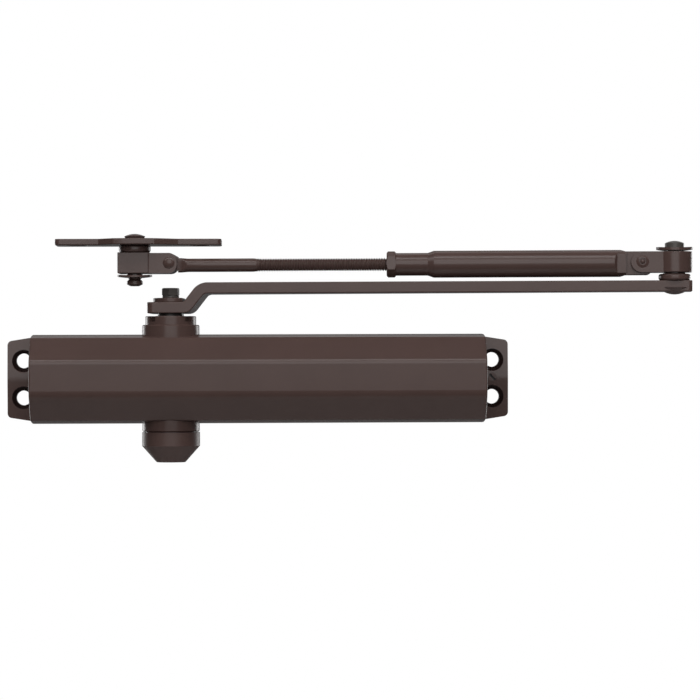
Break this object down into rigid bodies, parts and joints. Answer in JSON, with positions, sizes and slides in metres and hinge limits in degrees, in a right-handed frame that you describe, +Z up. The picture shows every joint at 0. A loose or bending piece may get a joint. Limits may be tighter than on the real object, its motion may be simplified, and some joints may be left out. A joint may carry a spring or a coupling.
{
  "type": "door closer",
  "caption": "Surface door closer: faceted hydraulic body on screw feet, notched pinion nut, offset main arm folded under a threaded forearm, and a swivelling shoe plate.",
  "frame": {"origin": "centre of the four door screws, on the back face that lies on the door", "axes": "+X along the body towards the spring end, +Y into the door, +Z up along the pinion towards the arm"},
  "size_m": [0.3463, 0.0601, 0.1153],
  "materials": {
    "body_paint": "satin dark bronze paint on a cast body",
    "arm_paint": "satin dark bronze paint on steel",
    "cap_plastic": "moulded dark bronze",
    "bush_metal": "painted over with the arm",
    "zinc_steel": "dull blackened steel",
    "bright_steel": "machined",
    "spring_steel": "oil-hardened wire",
    "seal_rubber": "nitrile",
    "ring_plastic": "bearing-grade plastic"
  },
  "bodies": {
    "housing": {"closer_body": "body_paint", "spring_end_plug": "body_paint", "pinion_end_plug": "body_paint", "end_plug_orings": "seal_rubber", "upper_packing_nut": "arm_paint", "lower_packing_nut": "arm_paint", "upper_bearing": "bright_steel", "lower_bearing": "bright_steel", "upper_shaft_seal": "seal_rubber", "lower_shaft_seal": "seal_rubber", "pinion_cap": "cap_plastic", "main_spring": "spring_steel", "spring_seat": "bright_steel", "passage_ball": "bright_steel"},
    "pinion_and_arm": {"pinion_shaft": "zinc_steel", "main_arm": "arm_paint", "arm_washer": "arm_paint", "lock_washer": "zinc_steel", "arm_screw": "zinc_steel", "elbow_stud": "zinc_steel", "elbow_clip": "arm_paint"},
    "piston_set": {"piston": "bright_steel", "piston_rings": "ring_plastic", "check_ball": "bright_steel", "check_ball_retainer": "spring_steel"},
    "elbow_knuckle_set": {"elbow_knuckle": "arm_paint", "elbow_bushing": "bush_metal", "elbow_cross_pin": "arm_paint"},
    "forearm": {"forearm_tube": "arm_paint"},
    "jam_nut": {"jam_nut": "arm_paint"},
    "rod": {"threaded_rod": "arm_paint"},
    "shoe_knuckle_set": {"shoe_knuckle": "arm_paint", "shoe_cross_pin": "arm_paint"},
    "shoe": {"shoe_plate": "arm_paint", "shoe_pivot_pin": "arm_paint", "shoe_bushing": "bush_metal", "shoe_clip": "arm_paint"},
    "backcheck_valve_set": {"backcheck_valve": "arm_paint", "backcheck_valve_oring": "seal_rubber"},
    "sweep_valve_set": {"sweep_valve": "zinc_steel", "sweep_valve_oring": "seal_rubber"},
    "latch_valve_set": {"latch_valve": "zinc_steel", "latch_valve_oring": "seal_rubber"}
  },
  "joints": [
    {"name": "pinion_turn", "type": "hinge", "parent": "housing", "child": "pinion_and_arm", "pos_m": [-0.0444, -0.027, 0], "axis": [0, 0, -1], "range_deg": [0, 175], "stiffness_Nm_per_rad": 5, "springref_deg": -171.89},
    {"name": "piston_slide", "type": "slide", "parent": "housing", "child": "piston_set", "axis": [1, 0, 0], "range_m": [0, 0.0275], "deforming": ["main_spring"]},
    {"name": "elbow_turn", "type": "hinge", "parent": "pinion_and_arm", "child": "elbow_knuckle_set", "pos_m": [0.20846, -0.05099, 0.05775], "axis": [0, 0, 1], "continuous": true},
    {"name": "forearm_tilt", "type": "hinge", "parent": "elbow_knuckle_set", "child": "forearm", "pos_m": [0.1921, -0.04996, 0.0579], "axis": [0.0628, 0.998, 0], "range_deg": [0, 30]},
    {"name": "jam_nut_turn", "type": "hinge", "parent": "forearm", "child": "jam_nut", "pos_m": [0.06674, -0.04208, 0.0572], "axis": [-0.998, 0.0628, 0], "continuous": true},
    {"name": "rod_adjust", "type": "slide", "parent": "forearm", "child": "rod", "axis": [-0.998, 0.0628, 0], "range_m": [-0.006, 0.025]},
    {"name": "shoe_tilt", "type": "hinge", "parent": "rod", "child": "shoe_knuckle_set", "pos_m": [-0.04444, -0.03508, 0.05815], "axis": [0.0628, 0.998, 0], "range_deg": [-10, 10]},
    {"name": "shoe_turn", "type": "hinge", "parent": "shoe_knuckle_set", "child": "shoe", "pos_m": [-0.0622, -0.03396, 0.05775], "axis": [0, 0, 1], "continuous": true},
    {"name": "backcheck_screw", "type": "hinge", "parent": "housing", "child": "backcheck_valve_set", "pos_m": [0.12065, -0.007, 0.0005], "axis": [0, -1, 0], "range_deg": [-360, 360]},
    {"name": "sweep_screw", "type": "hinge", "parent": "housing", "child": "sweep_valve_set", "pos_m": [-0.1143, -0.0105, 0.0165], "axis": [-1, 0, 0], "range_deg": [-360, 360]},
    {"name": "latch_screw", "type": "hinge", "parent": "housing", "child": "latch_valve_set", "pos_m": [-0.1143, -0.0105, -0.0165], "axis": [-1, 0, 0], "range_deg": [-360, 360]}
  ],
  "couplings": [
    {"joint": "piston_slide", "follows": "pinion_turn", "m_per_rad": 0.009}
  ]
}
